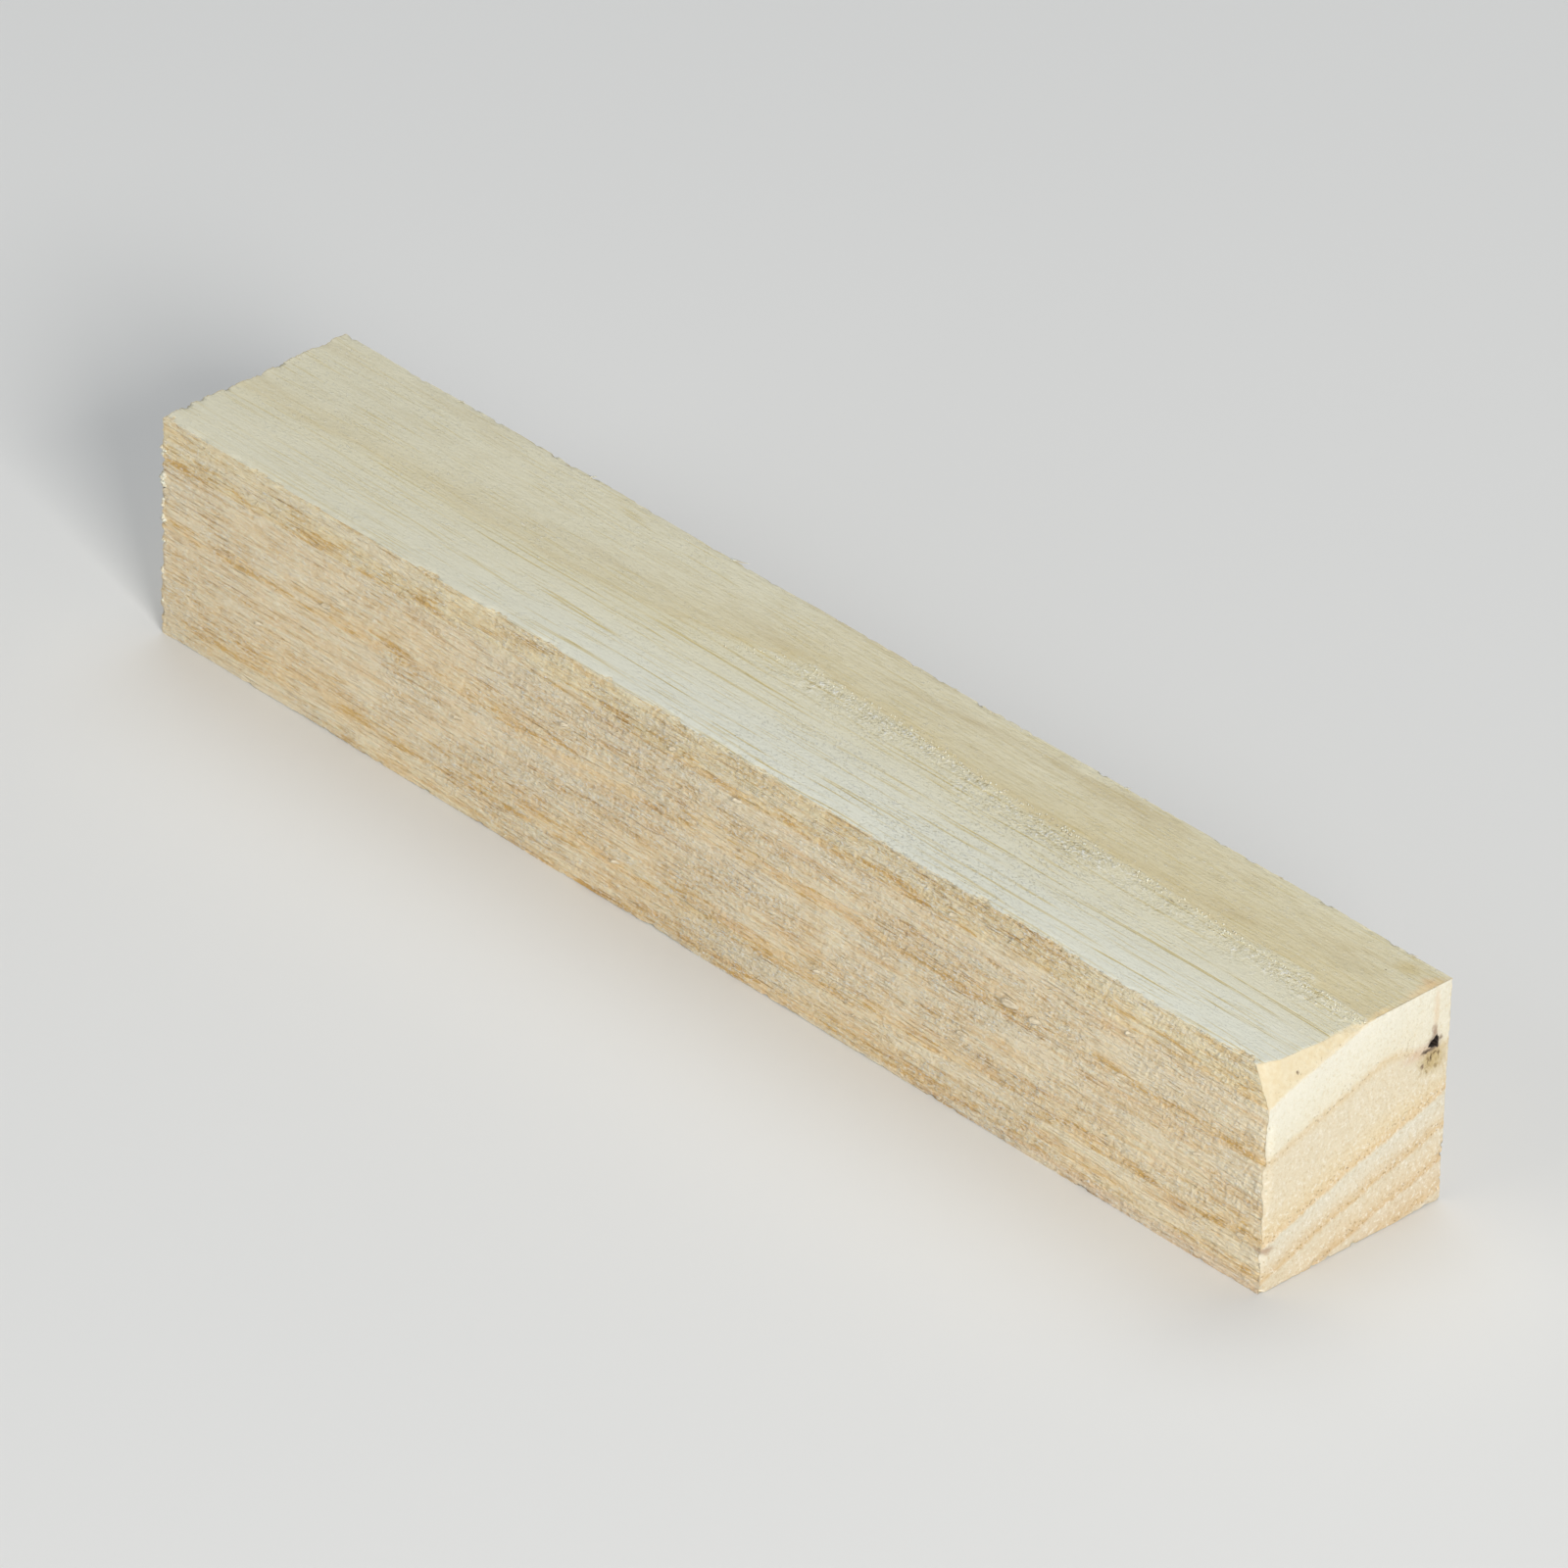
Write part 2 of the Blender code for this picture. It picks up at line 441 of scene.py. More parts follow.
def vessels(w, place, spacing, length, radius):
    """Vessels along the grain, as on the end and in the torn wood: one inside a vessel, nought outside it."""
    cross = w.over(1.0, spacing)
    squeeze = w.whole(w.over(1.0, length), cross, cross)
    packed = w.vector("MULTIPLY", place, squeeze)
    return (w.fade(w.over(w.cells(packed), radius), 1.0, 0.45),)


def grain_lines(w, along, cross, spacing, length, radius):
    """Vessels laid open along a sawn face, as thin lines that sway a little."""
    sway = w.uneven(w.whole(w.times(along, 0.05), w.times(cross, 0.25), 0.0), detail=1.0)
    swayed = w.times_add(sway, 1.4, cross)
    packed = w.whole(w.over(along, length), w.over(swayed, spacing), 0.0)
    return (w.fade(w.over(w.cells(packed, flat=True), radius), 1.0, 0.25),)


def saw_strokes(w, place):
    """The short slanting strokes that the saw's teeth left, as a height about nought."""
    along, across, up = w.parts(place)
    over_strokes = w.times_add(up, -math.sin(STROKE_SLANT), w.times(along, math.cos(STROKE_SLANT)))
    down_strokes = w.times_add(along, math.sin(STROKE_SLANT), w.times(up, math.cos(STROKE_SLANT)))
    stretched = w.whole(w.times(over_strokes, 2.3), w.times(across, 0.8), w.times(down_strokes, 0.8))
    return (w.uneven(stretched, detail=1.0),)


def arris_tears(w, place):
    """How far in from the -Y face the arris of the top is torn: below nought where it is whole."""
    broad = w.noise(w.scaled(place, 0.24, 0.3, 0.3), detail=4.0, roughness=0.62)
    return (w.times(w.less(broad, 0.49), 3.2),)


def placed(name, data):
    """A new object in the scene."""
    made = bpy.data.objects.new(name, data)
    bpy.context.scene.collection.objects.link(made)
    return made


def shader_of(name):
    """A new material, and its one shader."""
    material = bpy.data.materials.new(name)
    material.use_nodes = True
    return material, material.node_tree.nodes["Principled BSDF"]


def alone(thing):
    """Leaves one object selected and active, out of edit mode."""
    if bpy.context.object and bpy.context.object.mode != "OBJECT":
        bpy.ops.object.mode_set(mode="OBJECT")
    bpy.ops.object.select_all(action="DESELECT")
    thing.select_set(True)
    bpy.context.view_layer.objects.active = thing


def settle(thing):
    """Puts the object's place, turn and size into its mesh."""
    alone(thing)
    bpy.ops.object.transform_apply(location=True, rotation=True, scale=True)


@contextmanager
def editing(thing, select="SELECT"):
    """Edit mode on one object, with all of its mesh selected, none of it, or what was selected before."""
    alone(thing)
    bpy.ops.object.mode_set(mode="EDIT")
    if select:
        bpy.ops.mesh.select_all(action=select)
    yield
    bpy.ops.object.mode_set(mode="OBJECT")


def apply_modifier(thing, name, kind, **settings):
    """Adds a modifier with these settings and applies it."""
    modifier = thing.modifiers.new(name, kind)
    for label, value in settings.items():
        setattr(modifier, label, value)
    alone(thing)
    bpy.ops.object.modifier_apply(modifier=modifier.name)


def cut_edges(thing, axis, cuts, keep=None):
    """Cuts every edge that runs along an axis, or only those whose middle `keep` accepts."""
    with editing(thing, "DESELECT"):
        bpy.ops.mesh.select_mode(type="EDGE")
    mesh = thing.data
    for edge in mesh.edges:
        start, end = (mesh.vertices[index].co for index in edge.vertices)
        run = end - start
        lies_along = abs(run[axis]) > 0.9 * run.length
        edge.select = lies_along and (keep is None or keep((start + end) / 2))
    with editing(thing, None):
        bpy.ops.mesh.subdivide_edgering(number_cuts=cuts, interpolation="LINEAR")


def sawn_square():
    """The plain square, cut into a fine net of faces."""
    bpy.ops.object.select_all(action="DESELECT")
    middle = (0.0, 0.0, HEIGHT / 2)
    bpy.ops.mesh.primitive_cube_add(size=1.0, location=middle, scale=(LENGTH, WIDTH, HEIGHT))
    square = bpy.context.object
    square.name = "sawn_blank"
    settle(square)
    start_of_break = LENGTH / 2 - BREAK_STRETCH
    with editing(square):
        bpy.ops.mesh.bisect(plane_co=(start_of_break, 0.0, 0.0), plane_no=(1.0, 0.0, 0.0))
    cut_edges(square, 0, CUTS_BY_BREAK, keep=lambda middle: middle.x > start_of_break)
    cut_edges(square, 0, CUTS_ALONG, keep=lambda middle: middle.x < start_of_break)
    cut_edges(square, 1, CUTS_ACROSS)
    cut_edges(square, 2, CUTS_UP)
    return square


def solid_copy():
    """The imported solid's shape as one merged mesh."""
    copy = placed("solid_copy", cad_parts[NODE].data.copy())
    with editing(copy):
        bpy.ops.mesh.remove_doubles(threshold=MERGED)
    return copy


def tear_corner(square):
    """Draws the net down on to the torn facet of the solid, and marks how torn each point is."""
    by_break = square.vertex_groups.new(name="by_break")
    sharp = Vector((LENGTH / 2, -WIDTH / 2, HEIGHT))
    drawn = []
    for vertex in square.data.vertices:
        back, across, down = (abs(part) for part in vertex.co - sharp)
        if back < DRAWN_BACK and across < DRAWN_ACROSS and down < DRAWN_DOWN:
            drawn.append(vertex.index)
    by_break.add(drawn, 1.0, "REPLACE")
    solid = solid_copy()
    apply_modifier(square, "draw_to_solid", "SHRINKWRAP",
                   target=solid, wrap_method="NEAREST_SURFACEPOINT", vertex_group=by_break.name)
    bpy.data.objects.remove(solid, do_unlink=True)
    with editing(square):
        bpy.ops.mesh.remove_doubles(threshold=SQUASHED)
        bpy.ops.mesh.dissolve_degenerate(threshold=SQUASHED / 2)
    torn = square.data.attributes.new("torn_wood", "FLOAT", "POINT")
    for vertex in square.data.vertices:
        back, _, down = (abs(part) for part in vertex.co - sharp)
        faces_end = vertex.normal.x > 0.3
        if faces_end and back < DRAWN_BACK and down < DRAWN_DOWN:
            torn.data[vertex.index].value = min(1.0, min(back, down) / FACET_EDGE)


def sawn_relief(w, geometry):
    """Keeps each face's direction and raises the saw's relief on it."""
    place = w.place_in_mm()
    normal = w.put("GeometryNodeInputNormal").outputs[0]
    torn = w.put("GeometryNodeInputNamedAttribute", ("torn_wood",), data_type="FLOAT").outputs[0]
    kept = {"Geometry": geometry, "Name": "sawn_normal", "Value": normal}
    keep = w.put("GeometryNodeStoreNamedAttribute", kept, data_type="FLOAT_VECTOR", domain="POINT")
    out = {"Vector": normal, "Scale": w.times(relief_height(w, place, normal, torn), MM)}
    raised = w.put("ShaderNodeVectorMath", out, operation="SCALE").outputs[0]
    offset = w.vector("ADD", raised, worn_arrises(w, place, torn))
    return w.put("GeometryNodeSetPosition", {"Geometry": keep.outputs[0], "Offset": offset}).outputs


def relief_height(w, place, normal, torn):
    """How far the surface stands out, in millimetres, at a place on the sawn square."""
    porous = w.field("growth_rings", place)[1]
    stroke = w.field("saw_strokes", place)[0]
    along, across, up = w.parts(place)
    out_x, out_y, out_z = w.parts(normal)
    top = w.fade(out_z, 0.5, 0.9)
    underside = w.fade(w.times(out_z, -1.0), 0.5, 0.9)
    side = w.fade(w.size(out_y), 0.5, 0.9)
    end = w.fade(w.size(out_x), 0.5, 0.9)

    lumps = w.uneven(w.scaled(place, 0.7, 2.2, 2.2), roughness=0.6)
    streaks = w.uneven(w.scaled(place, 0.14, 1.9, 1.9), detail=3.0)
    swell = w.uneven(w.scaled(place, 0.07, 0.16, 0.16), detail=1.0)
    pits = w.uneven(w.scaled(place, 2.0, 2.2, 2.2))

    rough = w.times_add(lumps, 0.18, w.times_add(streaks, 0.38, w.times(stroke, 0.13)))
    grooves = w.times(w.fade(streaks, -0.04, -0.14), w.times_add(porous, -0.10, -0.03))
    torn_band = w.times(w.fade(along, -12.0, 4.0), w.fade(porous, 0.45, 0.8))
    smooth = w.times_add(lumps, w.times_add(torn_band, 0.26, 0.05), w.times(streaks, 0.03))
    sawn_end = w.times_add(pits, 0.07, w.times(lumps, 0.05))
    height = w.times(side, w.add(rough, grooves))
    for face, relief in ((top, smooth), (underside, w.times(rough, 0.4)), (end, sawn_end)):
        height = w.add(height, w.times(face, relief))

    # Each arris has lost a little, with chips here and there, and fuzz stands out by the far end
    from_end = w.less(HALF_LONG, w.size(along))
    from_side = w.less(HALF_WIDE, w.size(across))
    from_flat = w.least(up, w.less(TALL, up))
    from_arris = w.most(w.least(from_end, from_side), w.least(w.most(from_end, from_side), from_flat))
    by_arris = w.fade(from_arris, 0.55, 0.0)
    knocks = w.noise(w.scaled(place, 0.9, 1.1, 1.1), detail=3.0, roughness=0.7)
    chips = w.times(w.fade(knocks, 0.52, 0.72), w.fade(along, -63.2, -60.0, -0.12, -0.34))
    fuzz = w.times(w.fade(along, -61.5, -63.0), w.times(w.less(knocks, 0.45), 1.1))
    clean = w.times(w.fade(along, 60.0, 63.0), w.times(w.fade(across, 7.0, 9.0), w.fade(up, 4.0, 9.0)))
    wear = w.times(by_arris, w.times_add(w.add(chips, fuzz), w.less(1.0, clean), -0.05))
    height = w.add(w.times(height, w.times_add(by_arris, -0.35, 1.0)), wear)

    height = w.times(height, w.fade(torn, 0.0, 1.0, 1.0, 0.22))
    height = w.times_add(swell, 0.35, height)
    # Nothing stands out below the face that the blank lies on
    return w.least(height, w.fade(out_z, -0.69, -0.3))


def worn_arrises(w, place, torn):
    """How far two seen arrises have receded: the top's -Y one downwards, the +X end's upright one back."""
    along, across, up = w.parts(place)
    from_side = w.add(across, HALF_WIDE)
    from_end = w.less(HALF_LONG, along)
    down = w.less(TALL, up)
    reach = w.field("arris_tears", place)[0]
    by_top = w.fade(w.add(from_side, down), 0.95, 0.0)
    drop = w.times(by_top, w.times(w.fade(reach, -0.1, 1.0), -0.5))
    nicks = w.noise(w.scaled(place, 0.4, 0.4, 0.5), detail=3.0, roughness=0.5)
    by_end = w.times(w.fade(w.add(from_side, from_end), 0.8, 0.0), w.less(1.0, torn))
    back = w.times(by_end, w.fade(nicks, 0.34, 0.66, 0.0, -0.40))
    return w.whole(w.times(back, MM), 0.0, w.times(drop, MM))


# Each field of the wood, and the relief: the function that fills its group, its inputs and its outputs
FIELDS = {
    "sawn_relief": (sawn_relief, ("Geometry",), ("Geometry",)),
    "growth_rings": (growth_rings, ("Place",), ("Depth", "Porous")),
    "vessels": (vessels, ("Place", "Spacing", "Length", "Radius"), ("Vessel",)),
    "grain_lines": (grain_lines, ("Along", "Cross", "Spacing", "Length", "Radius"), ("Line",)),
    "saw_strokes": (saw_strokes, ("Place",), ("Stroke",)),
    "arris_tears": (arris_tears, ("Place",), ("Reach",)),
}
SOCKET_KINDS = {"Place": "NodeSocketVector", "Geometry": "NodeSocketGeometry"}


def field_group(name, tree_kind):
    """The node group of one field of the wood, for a material's tree or for the relief's."""
    fill, takes, gives = FIELDS[name]
    group = bpy.data.node_groups.new(name, tree_kind)
    for in_out, labels in (("INPUT", takes), ("OUTPUT", gives)):
        for label in labels:
            kind = SOCKET_KINDS.get(label, "NodeSocketFloat")
            group.interface.new_socket(name=label, in_out=in_out, socket_type=kind)
    inner = Wiring(group)
    entry = group.nodes.new("NodeGroupInput")
    way_out = group.nodes.new("NodeGroupOutput")
    for value, socket in zip(fill(inner, *entry.outputs[: len(takes)]), way_out.inputs):
        inner.join(value, socket)
    return group


def add_relief(square):
    """Raises the relief, and smooths all but the arrises."""
    relief = field_group("sawn_relief", "GeometryNodeTree")
    apply_modifier(square, "sawn_relief", "NODES", node_group=relief)
    bpy.ops.object.shade_smooth_by_angle(angle=SMOOTH_UP_TO)


def thin_out(square):
    """Spends fewer faces on the underside, the +Y side and the -X end."""
    plain = square.vertex_groups.new(name="plain_faces")
    thinned = []
    for vertex in square.data.vertices:
        x, y, z = vertex.co
        hidden = z < HIDDEN_SKIN or y > WIDTH / 2 - HIDDEN_SKIN or x < -LENGTH / 2 + HIDDEN_SKIN
        clear = z < HEIGHT - SEEN_MARGIN and y > -WIDTH / 2 + SEEN_MARGIN and x < LENGTH / 2 - SEEN_MARGIN
        if hidden and clear:
            thinned.append(vertex.index)
    plain.add(thinned, 1.0, "REPLACE")
    apply_modifier(square, "thin_out", "DECIMATE", ratio=THINNED_SHARE, vertex_group=plain.name)


def bark_pocket(square):
    """Cuts the small three-cornered pocket into the +X end, its outline a little uneven."""
    radius = POCKET_RADIUS + POCKET_RADIUS / POCKET_DEPTH * CUTTER_CLEAR
    depth = POCKET_DEPTH + CUTTER_CLEAR
    bpy.ops.object.select_all(action="DESELECT")
    bpy.ops.mesh.primitive_cone_add(vertices=POCKET_SIDES, radius1=radius, radius2=0.0, depth=depth)
    cutter = bpy.context.object
    cutter.name = "bark_pocket"
    # Between the three corners the rim follows the chords, with small nicks and bulges
    for vertex in cutter.data.vertices:
        angle = math.atan2(vertex.co.y, vertex.co.x) % (2 * math.pi / 3) - math.pi / 3
        if vertex.co.z < 0.0:
            uneven = 1.0 + POCKET_UNEVEN * math.sin(7.0 * vertex.index)
            vertex.co.xy *= uneven * 0.5 / math.cos(angle) if abs(angle) < 1.0 else 1.0
    turn = Matrix.Rotation(math.pi / 2 + POCKET_LEAN, 4, "X") @ Matrix.Rotation(-math.pi / 2, 4, "Y")
    middle = Vector((
        LENGTH / 2 + (CUTTER_CLEAR - POCKET_DEPTH) / 2,
        POCKET_FROM_SEEN_SIDE - WIDTH / 2,
        HEIGHT - POCKET_DOWN,
    ))
    cutter.matrix_world = Matrix.Translation(middle) @ turn
    settle(cutter)
    apply_modifier(square, "bark_pocket", "BOOLEAN", operation="DIFFERENCE", solver="EXACT", object=cutter)
    bpy.data.objects.remove(cutter, do_unlink=True)


INTO_SIDE = (0.0, 1.0, 0.0)
INTO_TOP = (0.0, 0.0, -1.0)


class Shreds:
    """Gathers slips, tongues and crumbs of torn wood, each rooted in the blank, as one mesh.

    Everything is taken in millimetres.
    """

    SLIP_STATIONS = 6
    TONGUE_STATIONS = 9
    TONGUE_CORNERS = 8
    CRUMB_CORNERS = 6
    START_CLEAR = 2.0

    def __init__(self, square):
        self.chance = np.random.default_rng(SHAPE_SEED)
        self.skin = BVHTree.FromObject(square, bpy.context.evaluated_depsgraph_get())
        self.points = []
        self.faces = []

    def close(self, first, corners):
        """Joins the rings of points that follow the first point into one closed body."""
        top = len(self.points) - corners
        for low in range(first, top, corners):
            for side in range(corners):
                after = (side + 1) % corners
                self.faces.append((low + side, low + after, low + corners + after, low + corners + side))
        self.faces.append(tuple(range(first + corners - 1, first - 1, -1)))
        self.faces.append(tuple(range(top, top + corners)))

    def slip(self, start, inwards, heading, length, width, lift, curl):
        """One slip from the skin met by a line from start going inwards. It runs along heading."""
        root = self.skin.ray_cast(Vector(start) * MM, Vector(inwards))[0]
        if root is None:
            return
        root = np.array(root) / MM
        out = -np.array(Vector(inwards).normalized())
        heading = np.array(Vector(heading).normalized())
        beside = np.cross(out, heading)
        first = len(self.points)
        for station in range(self.SLIP_STATIONS):
            share = station / (self.SLIP_STATIONS - 1)
            run = length * math.sin(share * (1.0 + curl)) / (1.0 + curl)
            rise = lift * math.sin(share * (1.3 + 1.4 * curl)) - 0.07 * (1.0 - share)
            middle = root + heading * run + out * rise
            half = width / 2 * (1.0 - 0.85 * share ** 1.4) * self.chance.uniform(0.7, 1.2)
            middle = middle + beside * width * self.chance.normal(0.0, 0.12)
            thick = out * (0.3 * half)
            sag = beside * half
            self.points += [middle + sag, middle + thick, middle - sag, middle - thick]
        self.close(first, 4)

    def tongue(self, x, z, length, width):
        """A tongue that lifts off the -Y face and widens to a rounded free end, its rim turned outwards."""
        first = len(self.points)
        lift = 0.14 + 0.25 * width
        for station in range(self.TONGUE_STATIONS):
            share = station / (self.TONGUE_STATIONS - 1)
            by_rim = max(0.0, (share - 0.75) / 0.25)
            along = x + length * (1.0 - share)
            up = z - 0.12 * length * (1.0 - share) + self.chance.normal(0.0, 0.012)
            start = Vector((along, -HALF_WIDE - self.START_CLEAR, up)) * MM
            met = self.skin.ray_cast(start, Vector(INTO_SIDE))[0]
            skin = met.y / MM if met else -HALF_WIDE
            rise = (lift + 0.2) * share ** 0.8 - 0.2 + 0.12 * by_rim ** 2
            half = width / 2 * (0.4 + 0.6 * min(1.0, share / 0.8) ** 1.5) * self.chance.uniform(0.85, 1.1)
            half *= math.sqrt(max(0.2, 1.0 - by_rim ** 3))
            for corner in range(self.TONGUE_CORNERS):
                turn = 2 * math.pi / self.TONGUE_CORNERS * corner
                crown = 0.03 * math.sin(turn) - 0.06 * width * math.cos(turn) ** 2
                self.points.append(np.array((along, skin - rise - crown, up + half * math.cos(turn))))
        self.close(first, self.TONGUE_CORNERS)

    def crumb(self, middle, size):
        """An uneven crumb."""
        first = len(self.points)
        middle = np.array(middle)
        for latitude in (-0.9, 0.0, 0.9):
            for step in range(self.CRUMB_CORNERS):
                turn = math.pi / 3 * (step + latitude)
                flat = math.cos(latitude)
                way = np.array((math.cos(turn) * flat, math.sin(turn) * flat, math.sin(latitude)))
                self.points.append(middle + way * size / 2 * self.chance.uniform(0.6, 1.15))
        self.close(first, self.CRUMB_CORNERS)

    def make(self, name, material):
        mesh = bpy.data.meshes.new(name)
        mesh.from_pydata([tuple(point * MM) for point in self.points], [], self.faces)
        thing = placed(name, mesh)
        with editing(thing):
            bpy.ops.mesh.normals_make_consistent(inside=False)
        bpy.ops.object.shade_smooth()
        thing.data.materials.append(material)
        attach(thing, "root")


def side_slips(shreds, chance):
    """Strings of slips on the rough sides."""
    low, high = 0.6, TALL - 0.4
    for side, strings in STRINGS:
        start_y = side * (HALF_WIDE + shreds.START_CLEAR)
        for _ in range(strings):
            middle_x = chance.uniform(-HALF_LONG + 1.0, HALF_LONG - 3.0)
            middle_z = chance.uniform(low, high)
            for _ in range(int(chance.integers(3, 9))):
                x = min(HALF_LONG - 0.8, max(0.6 - HALF_LONG, middle_x + chance.normal(0.0, 3.0)))
                z = min(high, max(low, middle_z + chance.normal(0.0, 0.45)))
                angle = chance.normal(math.radians(chance.choice((150.0, 200.0, 35.0))), math.radians(30.0))
                heading = (math.cos(angle), 0.0, math.sin(angle))
                length, width = chance.uniform(0.3, 0.9), chance.uniform(0.08, 0.2)
                shreds.slip((x, start_y, z), (0.0, -side, 0.0), heading, length, width,
                            chance.uniform(0.10, 0.26), chance.uniform(0.2, 1.3))


def ring_crumbs(shreds, chance):
    """Short slips and crumbs along the line where the outermost ring crosses the top."""
    ring_x, ring_y = zip(*RING_ON_TOP)
    for _ in range(RING_SLIPS):
        x = HALF_LONG - 0.8 - (HALF_LONG + 8.0) * chance.uniform(0.0, 1.0) ** 1.3
        ring = float(np.interp(x, ring_x, ring_y)) - HALF_WIDE
        start = (x, ring - abs(chance.normal(0.1, 0.55)), TALL + shreds.START_CLEAR)
        angle = chance.normal(0.0, 0.7)
        heading = (math.cos(angle), math.sin(angle), 0.0)
        shreds.slip(start, INTO_TOP, heading, chance.uniform(0.15, 0.4),
                    chance.uniform(0.06, 0.12), chance.uniform(0.04, 0.11), chance.uniform(0.3, 1.4))
        y = ring - abs(chance.normal(0.1, 0.5))
        size = chance.uniform(0.10, 0.24)
        shreds.crumb((x + 0.7, y, TALL + 0.1 * size), size)


def arris_fuzz(shreds, chance):
    """Fuzz along the -Y arrises of both ends and along the foot of the -Y face."""
    for z, size in FAR_TUFTS:
        for _ in range(TUFT_CRUMBS):
            x = -HALF_LONG + chance.normal(0.12, 0.1)
            y = -HALF_WIDE - chance.uniform(-0.1, 0.08)
            middle = (x, y, z + chance.normal(0.0, 0.3 * size))
            shreds.crumb(middle, size * chance.uniform(0.5, 0.85))
    start_y = -HALF_WIDE - shreds.START_CLEAR
    for _ in range(ARRIS_SLIPS):
        start = (HALF_LONG - 0.2, start_y, chance.uniform(0.8, 16.0))
        shreds.slip(start, INTO_SIDE, (0.6, -0.2, chance.normal(0.2, 0.5)),
                    chance.uniform(0.2, 0.4), chance.uniform(0.08, 0.16), 0.12, 0.5)
    for _ in range(FOOT_SLIPS):
        start = (chance.uniform(-HALF_LONG + 1.0, HALF_LONG - 1.0), start_y, 0.45)
        shreds.slip(start, INTO_SIDE, (chance.normal(0.6, 0.5), -0.3, -0.15),
                    chance.uniform(0.2, 0.45), chance.uniform(0.08, 0.15), 0.1, 0.5)


def torn_fibres(square, wood, lifted, pale):
    """The torn fibres: slips and tongues on the rough sides, paler crumbs along the ring and the arrises."""
    chance = np.random.default_rng(PLACE_SEED)
    slips = Shreds(square)
    side_slips(slips, chance)
    slips.make("torn_slips", wood)
    tongues = Shreds(square)
    for tongue in TONGUES:
        tongues.tongue(*tongue)
    tongues.make("lifted_tongues", lifted)
    crumbs = Shreds(square)
    ring_crumbs(crumbs, chance)
    arris_fuzz(crumbs, chance)
    crumbs.make("torn_crumbs", pale)


def arris_splinters(square, pale):
    """Splinters that the saw lifted along the +Y arris of the top."""
    splinters = Shreds(square)
    for x, length, width, stand in SPLINTERS:
        start = (x, HALF_WIDE - 0.16, TALL + splinters.START_CLEAR)
        heading = (1.0, stand / length * 0.8, 0.0)
        splinters.slip(start, INTO_TOP, heading, length, width, stand, 0.15)
    splinters.make("arris_splinters", pale)


def dry_wood(name, roughness, fill, *values):
    """A material of dry wood. `fill` works out its colour, and its fine relief in millimetres."""
    material, shader = shader_of(name)
    w = Wiring(material.node_tree)
    colour, relief = fill(w, *values)
    bump = w.put("ShaderNodeBump", {"Strength": 1.0, "Distance": MM, "Height": relief})
    w.join(colour, shader.inputs["Base Color"])
    w.join(bump.outputs[0], shader.inputs["Normal"])
    w.join(roughness, shader.inputs["Roughness"])
    w.join(WOOD_SPECULAR, shader.inputs["Specular IOR Level"])
    return material


def torn_fibre(w, tones):
    """Paler wood for what stands out from the blank, with fine lines along the grain."""
    darker, paler = tones
    tint = w.noise(w.scaled(w.place_in_mm(), 0.6, 4.0, 4.0))
    return w.mixed(w.fade(tint, 0.38, 0.62), tone(darker), tone(paler)), w.times(tint, 0.16)


def tone_ramp(w, depth, tones, light):
    """The tone at a ring depth, corrected for the light that falls on that kind of face."""
    return w.ramp(depth, [(place / RING_RANGE, tone(screen, light)) for place, screen in tones])


def spot(w, first, second, middle, reach):
    """One at a place on a face, falling smoothly to nought within its reach each way, in millimetres."""
    off_first = w.times(w.less(first, middle[0]), 1.0 / reach[0])
    off_second = w.times(w.less(second, middle[1]), 1.0 / reach[1])
    return w.fade(w.length(w.whole(off_first, off_second, 0.0)), 1.0, 0.15)


class Coats:
    """The wood's colour, laid on coat by coat, each as far as the product of its shares says."""

    def __init__(self, w, colour):
        self.w = w
        self.colour = colour

    def cover(self, colour, *shares):
        self.colour = self.w.mixed(self.w.times(*shares), self.colour, colour)

    def stain(self, colour, *shares):
        self.colour = self.w.mixed(self.w.times(*shares), self.colour, colour, "MULTIPLY")


